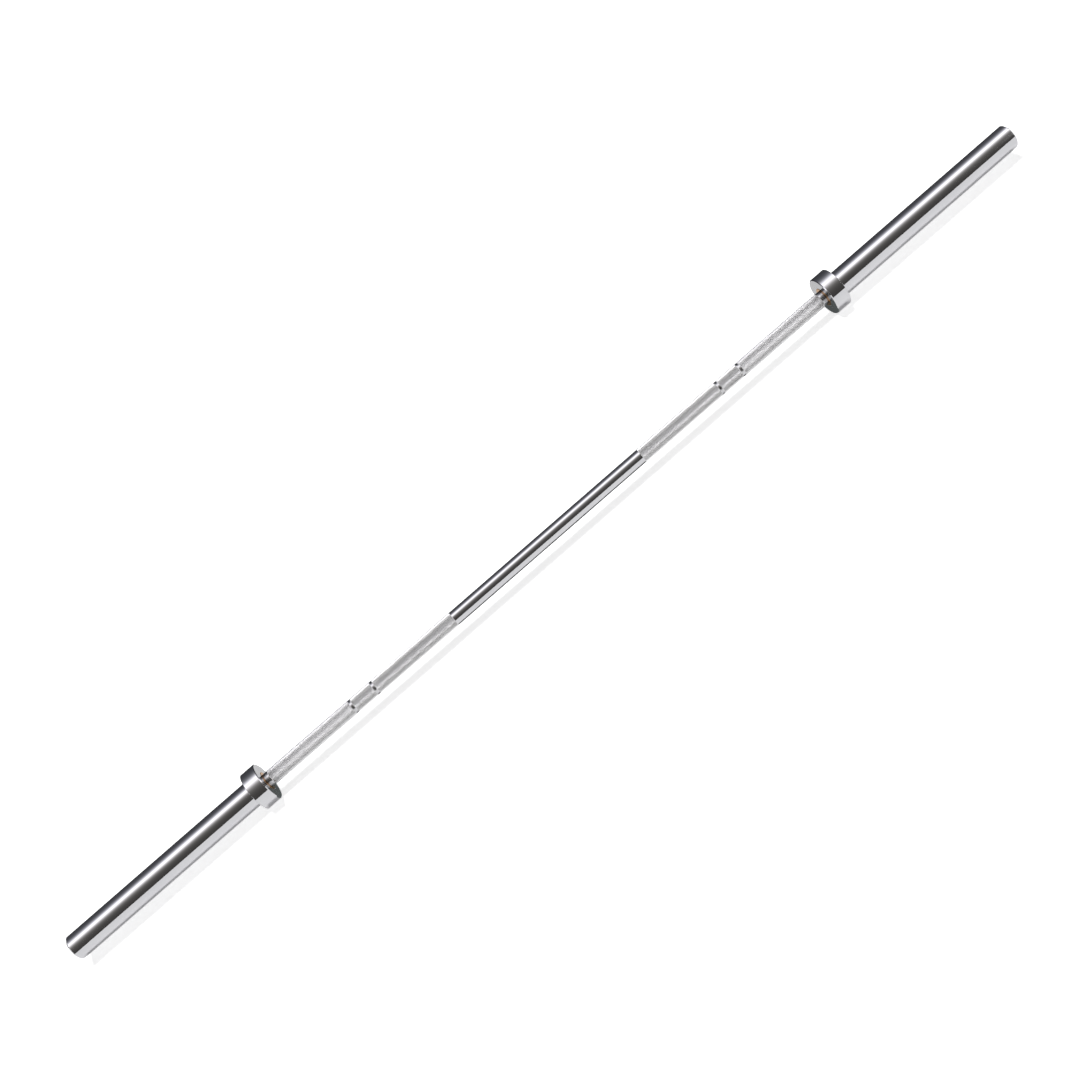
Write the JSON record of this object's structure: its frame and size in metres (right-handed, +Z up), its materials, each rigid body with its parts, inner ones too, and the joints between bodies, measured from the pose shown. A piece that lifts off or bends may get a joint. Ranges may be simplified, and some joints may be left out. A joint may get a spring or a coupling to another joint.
{
  "type": "olympic barbell",
  "caption": "Long straight steel barbell with a knurled grip, flanged collars and free-spinning sleeves that take weight plates.",
  "frame": {"origin": "on the bar's axis, midway between the collars", "axes": "+X along the bar towards the right sleeve, +Z up; the bar lies level on its collars"},
  "size_m": [2.2, 0.077, 0.077],
  "materials": {
    "shaft_chrome": "hard chrome, knurled",
    "sleeve_chrome": "polished chrome",
    "cap_chrome": "turned, bright",
    "bushing_bronze": "sintered bronze",
    "washer_steel": "ground",
    "spring_steel": "phosphated",
    "seal_rubber": "moulded"
  },
  "bodies": {
    "shaft": {"shaft": "shaft_chrome", "left_thrust_washer": "bushing_bronze", "left_backing_washer": "washer_steel", "left_shaft_snap_ring": "spring_steel", "right_thrust_washer": "bushing_bronze", "right_backing_washer": "washer_steel", "right_shaft_snap_ring": "spring_steel"},
    "left_sleeve": {"left_collar": "sleeve_chrome", "left_sleeve_tube": "sleeve_chrome", "left_inner_bushing": "bushing_bronze", "left_outer_bushing": "bushing_bronze", "left_end_cap": "cap_chrome", "left_end_cap_seal": "seal_rubber", "left_end_cap_snap_ring": "spring_steel"},
    "right_sleeve": {"right_collar": "sleeve_chrome", "right_sleeve_tube": "sleeve_chrome", "right_inner_bushing": "bushing_bronze", "right_outer_bushing": "bushing_bronze", "right_end_cap": "cap_chrome", "right_end_cap_seal": "seal_rubber", "right_end_cap_snap_ring": "spring_steel"}
  },
  "joints": [
    {"name": "left_sleeve_spin", "type": "hinge", "parent": "shaft", "child": "left_sleeve", "pos_m": [-0.89125, 0, 0], "axis": [1, 0, 0], "continuous": true},
    {"name": "right_sleeve_spin", "type": "hinge", "parent": "shaft", "child": "right_sleeve", "pos_m": [0.89125, 0, 0], "axis": [1, 0, 0], "continuous": true}
  ]
}
